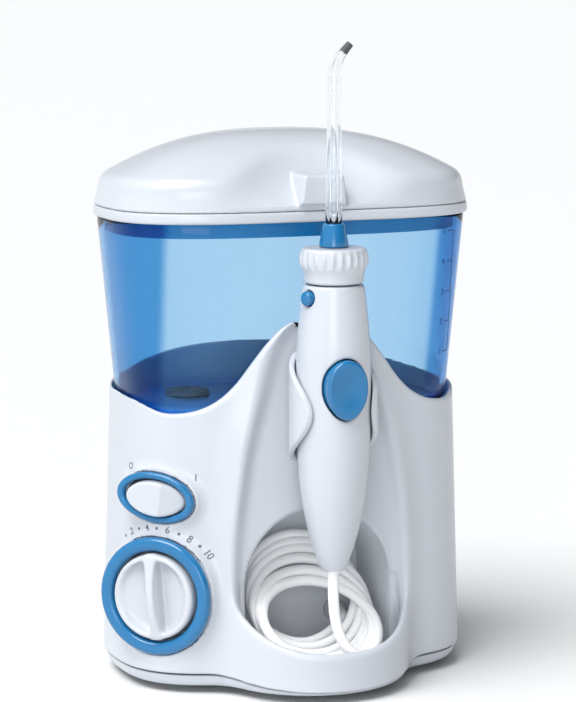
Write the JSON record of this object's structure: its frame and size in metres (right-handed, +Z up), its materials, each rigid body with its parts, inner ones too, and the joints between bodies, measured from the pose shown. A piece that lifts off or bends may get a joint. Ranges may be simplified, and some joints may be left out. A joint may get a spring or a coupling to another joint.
{
  "type": "countertop water flosser",
  "caption": "Countertop oral irrigator: base with pump, dial and switch, lift-out water tank with hinged lid, hose and a handle with a tip in a front cradle.",
  "frame": {"origin": "on the surface it stands on, under the middle of the base's plan outline", "axes": "+Z up, +Y towards the back, +X to the user's right; the handle stands in front at -Y"},
  "size_m": [0.1614, 0.1421, 0.2627],
  "materials": {
    "white_plastic": "satin gloss, moulded",
    "blue_plastic": "gloss, moulded",
    "tank_plastic": "clear blue, polished",
    "clear_plastic": "clear, polished",
    "grey_rubber": "matte",
    "hose": "matte, smooth",
    "steel": "plain",
    "inner_plastic": "moulded",
    "dark_plastic": "moulded",
    "brass": "cut",
    "board": "lacquered"
  },
  "bodies": {
    "base": {"base_housing": "white_plastic", "base_plate": "white_plastic", "rubber_feet": "grey_rubber", "base_screws": "steel", "hose_bay": "white_plastic", "hose_gland": "grey_rubber", "hose_run": "hose", "hose_tail": "hose", "hose_coil": "hose", "handle_clip": "white_plastic", "dial_ring": "blue_plastic", "bypass_valve": "inner_plastic", "switch_ring": "blue_plastic", "rocker_pin": "steel", "switch_body": "dark_plastic", "tank_port": "inner_plastic", "cord_inlet": "grey_rubber", "pump_frame": "inner_plastic", "motor_bracket": "steel", "motor_can": "steel", "gear_axle": "steel", "pump_cylinder": "dark_plastic", "feed_tube": "grey_rubber", "bypass_tube": "grey_rubber", "delivery_tube": "grey_rubber", "hose_elbow": "inner_plastic", "power_board": "board"},
    "tank": {"tank": "tank_plastic", "tank_valve": "grey_rubber"},
    "tray": {"tip_tray": "blue_plastic"},
    "lid": {"lid": "white_plastic", "hinge_pins": "steel"},
    "handle": {"handle_shell": "white_plastic", "hose_barb": "inner_plastic", "pause_valve": "inner_plastic", "tip_socket": "inner_plastic", "pause_spring": "steel", "eject_spring": "steel"},
    "pause_button": {"pause_button": "blue_plastic"},
    "eject_button": {"eject_button": "blue_plastic"},
    "collar": {"tip_collar": "white_plastic"},
    "tip": {"tip_seat": "blue_plastic", "tip_shaft": "clear_plastic", "tip_nozzle": "grey_rubber"},
    "dial": {"dial_knob": "white_plastic"},
    "rocker": {"rocker": "white_plastic"},
    "gear": {"drive_gear": "inner_plastic"},
    "pinion": {"motor_pinion": "brass"},
    "plunger": {"plunger": "inner_plastic"}
  },
  "joints": [
    {"name": "tank_lift", "type": "slide", "parent": "base", "child": "tank", "axis": [0, 0, 1], "range_m": [0, 0.12]},
    {"name": "tray_lift", "type": "slide", "parent": "tank", "child": "tray", "axis": [0, 0, 1], "range_m": [0, 0.05]},
    {"name": "lid_hinge", "type": "hinge", "parent": "tray", "child": "lid", "pos_m": [0, 0.057, 0.1936], "axis": [-1, 0, 0], "range_deg": [0, 100]},
    {"name": "handle_lift", "type": "slide", "parent": "base", "child": "handle", "axis": [0, -0.1392, 0.9903], "range_m": [0, 0.1]},
    {"name": "pause_press", "type": "slide", "parent": "handle", "child": "pause_button", "axis": [0, 1, 0], "range_m": [0, 0.0018], "stiffness_N_per_m": 600, "springref_m": -0.001},
    {"name": "eject_press", "type": "slide", "parent": "handle", "child": "eject_button", "axis": [0.9563, 0.2924, 0], "range_m": [0, 0.0015], "stiffness_N_per_m": 500, "springref_m": -0.001},
    {"name": "collar_spin", "type": "hinge", "parent": "handle", "child": "collar", "pos_m": [0, -0.065, 0.175], "axis": [0, 0, 1], "continuous": true},
    {"name": "tip_pull", "type": "slide", "parent": "collar", "child": "tip", "axis": [0, 0, 1], "range_m": [0, 0.03]},
    {"name": "dial_turn", "type": "hinge", "parent": "base", "child": "dial", "pos_m": [-0.06376, -0.03427, 0.0402], "axis": [-0.682, -0.7314, 0], "range_deg": [-50, 45]},
    {"name": "switch_rock", "type": "hinge", "parent": "base", "child": "rocker", "pos_m": [-0.06069, -0.03098, 0.0805], "axis": [-0.0891, 0.0831, -0.9925], "range_deg": [0, 10]},
    {"name": "gear_spin", "type": "hinge", "parent": "base", "child": "gear", "pos_m": [0.004, 0.022, 0.035], "axis": [0, 0, 1], "continuous": true},
    {"name": "motor_spin", "type": "hinge", "parent": "base", "child": "pinion", "pos_m": [0.028, 0.022, 0.035], "axis": [0, 0, 1], "continuous": true},
    {"name": "plunger_stroke", "type": "slide", "parent": "base", "child": "plunger", "axis": [1, 0, 0], "range_m": [-0.0015, 0.0015]}
  ],
  "couplings": [
    {"joint": "motor_spin", "follows": "gear_spin", "ratio": -4}
  ]
}
